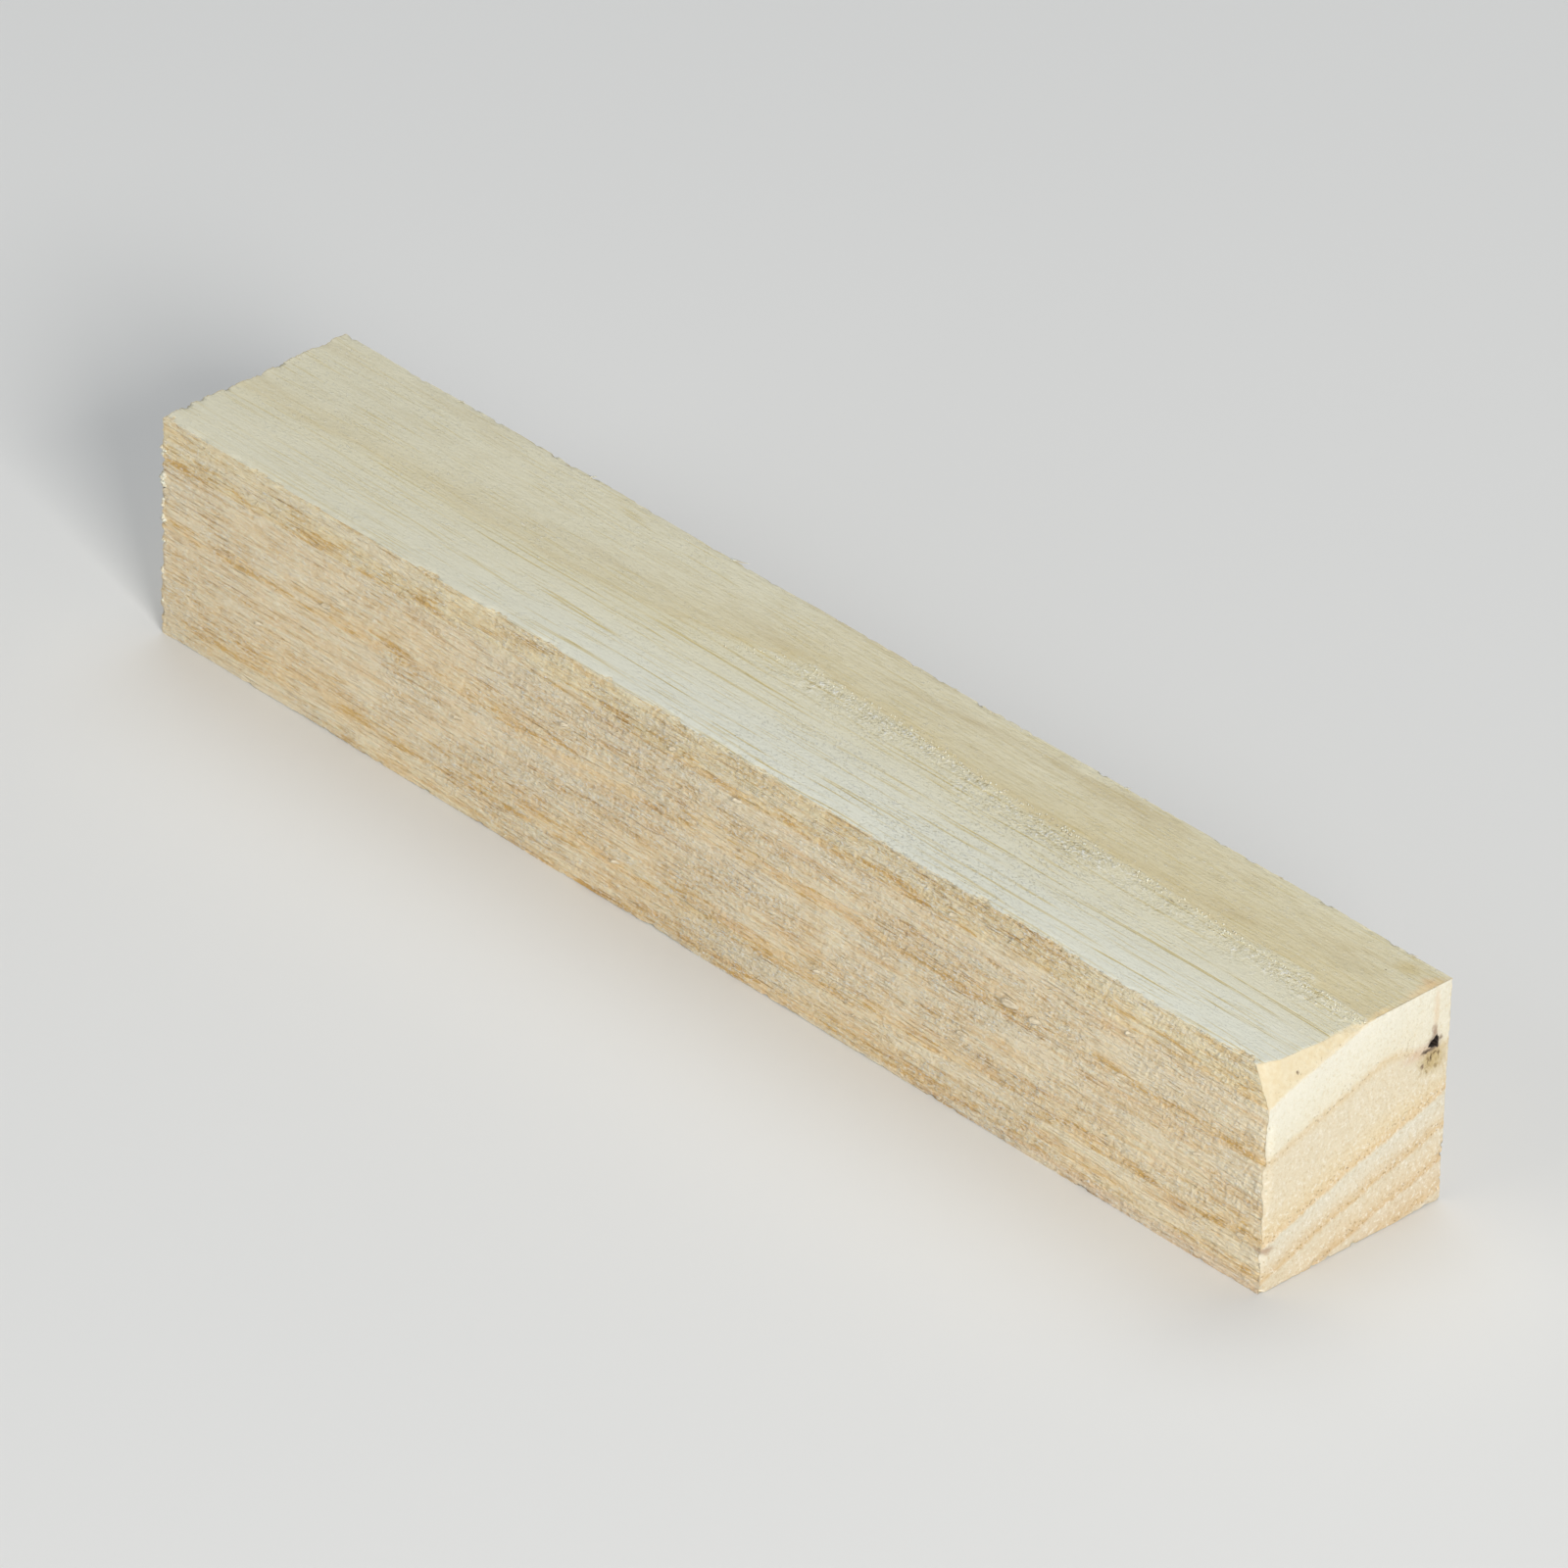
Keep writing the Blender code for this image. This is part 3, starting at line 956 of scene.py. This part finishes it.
def wood_fields(w):
    """What the wood's colour and fine relief are worked out from: places, faces, rings, lines and noises."""
    f = SimpleNamespace()
    place = w.place_in_mm()
    f.along, across, f.up = w.parts(place)
    normal = w.put("ShaderNodeAttribute", attribute_name="sawn_normal").outputs["Vector"]
    f.out_x, _, f.out_z = w.parts(normal)
    f.torn = w.put("ShaderNodeAttribute", attribute_name="torn_wood").outputs["Fac"]
    f.depth, f.porous = w.field("growth_rings", place)
    f.stroke = w.field("saw_strokes", place)[0]
    f.end = w.fade(w.size(f.out_x), 0.5, 0.9)
    f.long_face = w.less(1.0, f.end)
    f.from_side = w.add(across, HALF_WIDE)
    f.down = w.less(TALL, f.up)
    f.from_end = w.less(HALF_LONG, f.along)
    # Where the arris is torn, the top shows the rough side's finish
    reach = w.field("arris_tears", place)[0]
    whole_top = w.fade(w.less(f.from_side, reach), 0.0, 0.14)
    f.top = w.times(w.fade(w.size(f.out_z), 0.68, 0.74), whole_top, f.long_face)
    f.side = w.less(1.0, w.most(f.top, f.end))
    f.on_side = w.times(f.side, f.long_face)
    f.seen_top = w.times(f.top, w.fade(f.depth, 3.9 / RING_RANGE, 3.3 / RING_RANGE))

    # One coordinate across the grain runs on over the arrises
    cross = w.add(across, f.up)
    for name, (shift, *shape) in LINE_SETS.items():
        setattr(f, name, w.field("grain_lines", f.along, w.add(cross, shift), *shape)[0])
    width = w.times_add(f.porous, 0.16, 0.14)
    f.pores = w.times(w.field("vessels", place, 0.34, 9.0, width)[0], f.end)
    for name, (by_along, by_cross, shift, detail, roughness) in DRAWN_OUT.items():
        drawn = w.whole(w.times(f.along, by_along), w.times(cross, by_cross), shift)
        setattr(f, name, w.uneven(drawn, detail, roughness))
    on_end_too = w.times(f.down, f.end)
    finely = w.whole(w.times(f.along, w.times_add(f.end, 0.3, 1.3)), w.times(cross, 4.0), on_end_too)
    f.grit = w.uneven(finely, detail=3.0, roughness=0.7)
    f.lumps = w.uneven(w.scaled(place, 0.9, 2.2, 2.2), detail=1.5)
    f.grain = w.uneven(w.scaled(place, 3.3, 3.3, 3.3), detail=2.5, roughness=0.65)
    f.streaks = w.uneven(w.scaled(place, 0.14, 1.6, 1.6), detail=3.0)
    f.patches = w.noise(w.scaled(place, 0.12, 0.35, 0.35))
    f.clumps = w.noise(w.scaled(place, 0.45, 0.9, 0.9))

    # Where the finishes differ: the rough side is calmer far off, the top is torn along the outermost ring
    f.by_end = w.fade(f.along, 36.0, 52.0)
    f.calm_side = w.times(f.on_side, w.fade(f.along, -50.0, 5.0, 0.4, 1.0))
    f.hairy = w.times(f.on_side, w.times_add(f.by_end, -0.35, w.fade(f.patches, 0.38, 0.6, 0.45, 1.0)))
    f.open_grain = w.times(
        w.less(1.0, f.torn), w.less(1.0, f.end), f.side, w.fade(f.along, -45.0, 0.0, 0.6, 0.9),
        w.times_add(f.by_end, -0.3, 1.0), w.fade(f.patches, 0.38, 0.6, 0.55, 1.1),
    )
    f.coarse_end = w.times(f.end, w.fade(w.times_add(f.from_side, 0.3, f.down), 5.0, 16.0, 0.6, 1.0))
    f.crumbs = w.times(
        f.top, w.fade(f.along, -12.0, 4.0), w.fade(f.porous, 0.4, 0.9),
        w.fade(f.along, 25.0, 50.0, 1.0, 0.85), w.fade(f.clumps, 0.42, 0.58, 0.45, 1.0),
    )
    return f


def figure_coats(w, f, wood):
    """The top evens out towards the far end, and its hidden half has a soft brownish figure."""
    from_ring = w.size(w.less(f.depth, 3.5 / RING_RANGE))
    by_ring = w.fade(from_ring, 1.6 / RING_RANGE, 0.3 / RING_RANGE)
    far_half = w.fade(f.along, 0.0, -45.0, 0.0, 0.8)
    wood.cover(tone(FAR_TOP_TONE, TOP_LIGHT), f.top, far_half, w.less(1.0, w.times(by_ring, 0.6)))
    hidden_top = w.times(w.less(f.top, f.seen_top), w.fade(f.along, -50.0, 10.0, 0.5, 1.0))
    wood.stain((0.89, 0.85, 0.78), w.fade(f.figure, 0.03, -0.2), hidden_top)
    wood.stain((0.92, 0.90, 0.84), w.fade(f.fibre, 0.05, -0.15), hidden_top)
    wood.stain((0.99, 0.97, 0.92), w.fade(f.along, 10.0, 45.0), hidden_top)


def side_coats(w, f, wood):
    """The rough side: brown and pale hair lines, partly painted shade in the grooves and painted highlight on
    the ridges, painted shade in the saw strokes' hollows, and ochre dashes along the porous wood.
    """
    wood.stain((1.0, 0.98, 0.945), f.on_side)
    wood.stain((0.97, 0.955, 0.93), f.on_side, w.fade(f.along, -20.0, -45.0))
    # Darker in the streaks' grooves: partly the wood's tone, partly painted shade
    wood.stain((0.96, 0.90, 0.84), w.fade(f.streaks, 0.02, -0.16), f.calm_side)
    # Brown hair lines in the fibre's grooves and pale ones on its ridges: partly the wood's own lines, partly
    # painted shade and highlight
    wood.stain((0.80, 0.68, 0.49), w.fade(f.fibre, -0.05, -0.16), f.hairy)
    wood.cover(tone((238, 225, 198), HAIR_LIGHT), w.fade(f.fibre, 0.0, 0.2), f.on_side, 0.6)
    # Painted shade in the hollows of the saw strokes
    wood.stain((0.97, 0.93, 0.88), w.fade(f.stroke, 0.0, -0.2), f.on_side)
    by_arris = w.fade(f.down, 1.6, 0.2, 0.0, 0.5)
    by_foot = w.times(w.bump_at(f.along, 42.0, 17.0), w.fade(f.up, 2.8, 1.0))
    rich = w.most(w.fade(f.porous, 0.0, 0.5, 0.32, 1.0), w.most(by_arris, by_foot))
    dash = w.most(w.fade(f.dashes, 0.05, 0.11), w.times(f.patch_cells, w.fade(f.dashes, -0.06, 0.01)))
    wood.cover(tone(DASH_TONE, MARK_LIGHT), dash, rich, f.on_side, 0.9)
    brown = w.fade(f.dashes, -0.06, -0.15)
    wood.stain((0.86, 0.75, 0.57), brown, f.calm_side, w.times_add(f.by_end, 0.35, 0.2))
    foot = w.times(w.fade(f.up, 1.7, 0.6), w.fade(f.along, 20.0, 48.0))
    wood.cover(tone((214, 192, 168), MARK_LIGHT), foot, f.on_side, 0.5)
    ragged = (w.times_add(f.streaks, 3.0, f.along), w.times_add(f.lumps, 0.8, f.up))
    patch = spot(w, *ragged, (54.0, 3.8), (2.6, 0.8))
    wood.cover(tone((196, 158, 104), MARK_LIGHT), patch, f.on_side, 0.6)
    wood.cover(tone((224, 213, 186), MARK_LIGHT), w.fade(f.bands, 0.0, 0.12), f.on_side, 0.6)
    wood.stain((0.96, 0.91, 0.84), w.fade(f.bands, 0.0, -0.12), f.calm_side)


def line_coats(w, f, wood):
    """Vessels laid open: long lines that come and go on the top, short ones on both faces."""
    come_and_go = w.times(w.fade(f.along, -55.0, -10.0, 0.35, 1.0), w.fade(f.broken, -0.10, 0.06, 0.2, 1.15))
    where = w.add(w.times(f.seen_top, 0.8), w.times(f.side, 0.25))
    long_share = w.times(f.long_lines, w.fade(f.streaks, -0.12, 0.06, 0.25, 1.0), come_and_go, where)
    line_tone = tone(LINE_TONE, TOP_LIGHT)
    wood.cover(line_tone, f.more_lines, come_and_go, f.seen_top, 0.6)
    wood.cover(line_tone, long_share)
    wood.cover(line_tone, f.short_lines, f.top, w.fade(f.patches, 0.4, 0.55, 0.15, 0.55))
    short_share = w.times(f.short_lines, f.hairy, w.fade(f.streaks, 0.06, -0.10), 0.7)
    wood.cover(tone(VESSEL_TONE, TOP_LIGHT), short_share)
    f.line_share = w.add(long_share, short_share)


def speckle_light_and_shade_coats(w, f, wood):
    """Painted highlights and shade on the fine relief, with painted glints on specks and painted shade in
    pits: dense on the rough side, and on the top fewer towards the +X end.
    """
    # Painted highlights on the raised grains and painted shade in the sunk ones, where the same noises raise
    # the fine relief
    wood.cover(tone((248, 240, 219), GRAIN_LIGHT), w.fade(f.grit, 0.05, 0.18), f.open_grain, 0.85)
    wood.stain((0.79, 0.68, 0.51), w.fade(f.grit, -0.06, -0.18), f.open_grain)
    wood.cover(tone((252, 244, 224), GRAIN_LIGHT), w.fade(f.dust, 0.06, 0.18), f.open_grain, 0.65)
    wood.stain((0.82, 0.72, 0.54), w.fade(f.dust, -0.08, -0.20), f.open_grain)
    wood.cover(tone((250, 243, 226), GRAIN_LIGHT), w.fade(f.flecks, 0.10, 0.17), f.open_grain, 0.75)
    fewer = w.least(w.fade(f.along, -8.0, 12.0, 0.3, 1.0), w.fade(f.along, 30.0, 52.0, 1.0, 0.25))
    open_top = w.most(w.times(f.top, 0.5), w.times(f.seen_top, fewer))
    pitted = w.times(open_top, w.fade(f.patches, 0.36, 0.6, 0.55, 1.0))
    # Painted shade in the sunk pits and painted glints on the raised specks
    f.pits = w.times(w.fade(f.flecks, -0.09, -0.18), pitted)
    f.specks = w.times(w.fade(f.flecks, 0.09, 0.18), pitted)
    wood.cover(tone((244, 240, 224), SPECK_LIGHT), f.specks, 0.65)
    wood.stain((0.90, 0.87, 0.79), f.pits)


def end_coats(w, f, wood):
    """The sawn end's coarse grain with painted sparkle and shade, and pores, the torn band on the top with
    painted highlights and shadows on its crumbs, and the smooth torn facet, its mottle partly painted
    shading.
    """
    # Painted sparkle on the end's raised grain and painted shade in its hollows
    wood.cover(tone((254, 248, 234), END_LIGHT), w.fade(f.grain, 0.04, 0.18), f.coarse_end, 0.65)
    wood.stain((0.90, 0.84, 0.74), w.fade(f.grain, -0.02, -0.2), f.coarse_end)
    pore_share = w.times_add(f.porous, w.fade(f.down, 8.0, 16.0, 0.35, 0.6), 0.04)
    wood.cover(tone(VESSEL_TONE, END_LIGHT), f.pores, pore_share)
    # Painted highlights on the torn band's raised crumbs and painted shadows in the hollows beside them
    wood.cover(tone((248, 244, 226), TOP_LIGHT), w.fade(f.grain, 0.05, 0.15), f.crumbs, 0.8)
    wood.stain((0.68, 0.61, 0.47), w.fade(f.grain, -0.06, -0.18), f.crumbs)
    # The facet's mottle follows its lumps: partly the wood's own mottle, partly painted shading
    facet = w.mixed(w.fade(f.lumps, -0.25, 0.25), *(tone(screen, FACET_LIGHT) for screen in FACET_TONES_AND_SHADING))
    wood.cover(facet, f.torn, 0.94)


def mark_coats(w, f, wood):
    """The stain round the bark pocket, the small marks on the +X end and the top, and the pocket's walls."""
    on_end = w.fade(f.out_x, 0.5, 0.9)
    ragged = w.times(f.lumps, 0.5)
    stained = (w.add(f.from_side, ragged), w.add(f.down, ragged))
    for middle, reach, colour, strength in END_MARKS:
        wood.cover(tone(colour), spot(w, *stained, middle, reach), on_end, strength)
    speckled = spot(w, *stained, (17.9, 7.0), (1.8, 1.7))
    wood.cover(tone((146, 120, 76)), speckled, on_end, w.fade(f.grain, 0.0, -0.12), 0.35)
    stain = w.times(w.fade(f.from_end, 1.3, 0.2), w.bump_at(stained[1], 16.75, 0.55))
    wood.cover(tone((158, 122, 94)), stain, f.on_side, 0.55)
    on_top = w.times(f.top, w.fade(f.out_z, 0.5, 0.9))
    stained = (w.add(f.along, w.times(ragged, 2.0)), w.add(f.from_side, ragged))
    for middle, reach, colour, strength in TOP_MARKS:
        wood.cover(tone(colour, TOP_LIGHT), spot(w, *stained, middle, reach), on_top, strength)
    # The pocket's walls are bark: nothing else here is turned from the end or lies this far inside it
    inside = w.most(w.fade(f.from_end, 0.08, 0.22), w.less(1.0, f.end))
    near_end = w.fade(f.from_end, 4.0, 3.0)
    in_pocket = w.times(w.bump_at(f.from_side, 18.3, 1.3), w.bump_at(f.down, 5.3, 1.5))
    bark = w.mixed(w.fade(f.grit, -0.1, 0.1), *(tone(screen) for screen in BARK_TONES))
    wood.cover(bark, inside, near_end, w.fade(in_pocket, 0.0, 0.02))


def fine_relief(w, f):
    """Relief finer than the mesh, in millimetres."""
    calmer = w.fade(f.along, -50.0, -5.0, 0.6, 1.3)
    rough = w.times(f.on_side, w.fade(f.patches, 0.35, 0.65, 0.5, 1.2), calmer)
    relief = w.times(f.lumps, w.times_add(rough, 0.10, w.times_add(f.crumbs, 0.06, 0.03)))
    on_grain = w.times_add(f.coarse_end, 0.08, w.times_add(f.crumbs, 0.26, w.times(rough, 0.10)))
    for field, height in (
        (f.stroke, w.times(rough, 0.15)),
        (f.fibre, w.times(f.long_face, w.times_add(f.side, 0.26, 0.03))),
        (f.grit, w.times_add(f.open_grain, 0.30, w.times_add(f.top, 0.05, 0.02))),
        (f.dust, w.times(f.open_grain, 0.11)),
        (w.fade(f.flecks, 0.08, 0.2), w.times(f.open_grain, 0.05)),
        (f.pits, -0.04),
        (f.specks, 0.07),
        (f.grain, on_grain),
        (f.line_share, -0.03),
        (f.pores, w.times_add(f.porous, -0.03, -0.02)),
    ):
        relief = w.times_add(field, height, relief)
    return w.times(relief, w.fade(f.torn, 0.0, 1.0, 1.0, 0.6))


def sawn_wood(w):
    """The wood: colour, pores and relief from the growth rings, with a finish for each sawn face."""
    f = wood_fields(w)
    wood = Coats(w, tone_ramp(w, f.depth, SIDE_TONES, SIDE_LIGHT))
    # The top's ramp holds a painted cool sheen along with the wood's tone
    wood.cover(tone_ramp(w, f.depth, TOP_TONES_AND_SHEEN, TOP_LIGHT), f.top)
    wood.cover(tone_ramp(w, f.depth, END_TONES, END_LIGHT), f.end)
    for coats in (figure_coats, side_coats, line_coats, speckle_light_and_shade_coats, end_coats, mark_coats):
        coats(w, f, wood)
    return wood.colour, fine_relief(w, f)


def pale_floor():
    """A plain pale floor, well past the picture's edges."""
    bpy.ops.object.select_all(action="DESELECT")
    bpy.ops.mesh.primitive_plane_add(size=6.0, location=(0.0, 0.0, 0.0))
    floor = bpy.context.object
    floor.name = "floor"
    material, shader = shader_of("pale_floor")
    shader.inputs["Base Color"].default_value = (0.78, 0.78, 0.77, 1.0)
    shader.inputs["Roughness"].default_value = 0.85
    floor.data.materials.append(material)


def soft_light(name, place, size, power, colour=(1.0, 1.0, 1.0)):
    """A square soft light that faces the blank."""
    lamp = bpy.data.lights.new(name, "AREA")
    lamp.size = size
    lamp.energy = power
    lamp.color = colour
    light = placed(name, lamp)
    light.location = place
    light.rotation_euler = (-Vector(place)).to_track_quat("-Z", "Y").to_euler()
    light.visible_camera = False


def studio():
    """Soft light: the key from beyond the +X end, a wide one overhead, a fill for the -Y side."""
    soft_light("key", (0.84, -0.42, 0.50), 0.35, 8.6, (1.0, 0.98, 0.95))
    soft_light("overhead", (-0.25, 0.35, 1.1), 0.9, 5.2, (0.94, 0.975, 1.0))
    soft_light("fill", (-0.35, -1.0, 0.55), 0.7, 1.9)
    world = bpy.data.worlds.new("room")
    world.use_nodes = True
    world.node_tree.nodes["Background"].inputs["Color"].default_value = (0.96, 0.98, 1.0, 1.0)
    world.node_tree.nodes["Background"].inputs["Strength"].default_value = 0.2
    bpy.context.scene.world = world
    bpy.context.scene.view_settings.view_transform = "Standard"


def camera():
    """The camera at the photograph's angle, with a long lens from over a metre away."""
    lens = bpy.data.cameras.new("camera")
    lens.lens = CAMERA_LENS
    lens.sensor_width = 36.0
    lens.clip_start = 0.05
    lens.clip_end = 20.0
    eye = placed("camera", lens)
    flat = math.cos(CAMERA_ELEVATION)
    back = Vector((
        math.sin(CAMERA_AZIMUTH) * flat,
        -math.cos(CAMERA_AZIMUTH) * flat,
        math.sin(CAMERA_ELEVATION),
    ))
    level = (-back).to_track_quat("-Z", "Y").to_matrix().to_4x4()
    place = Matrix.Translation(CAMERA_AIM + back * CAMERA_DISTANCE)
    eye.matrix_world = place @ level @ Matrix.Rotation(CAMERA_ROLL, 4, "Z")
    bpy.context.scene.camera = eye


camera()
studio()
pale_floor()
blank = sawn_square()
tear_corner(blank)
add_relief(blank)
thin_out(blank)
bark_pocket(blank)
wood = dry_wood("sawn_wood", WOOD_ROUGHNESS, sawn_wood)
blank.data.materials.append(wood)
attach(blank, "root")
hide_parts(NODE)
fibre_wood = dry_wood("torn_fibre", FIBRE_ROUGHNESS, torn_fibre, FIBRE_TONES)
tongue_wood = dry_wood("lifted_wood", FIBRE_ROUGHNESS, torn_fibre, TONGUE_TONES)
torn_fibres(blank, wood, tongue_wood, fibre_wood)
arris_splinters(blank, fibre_wood)
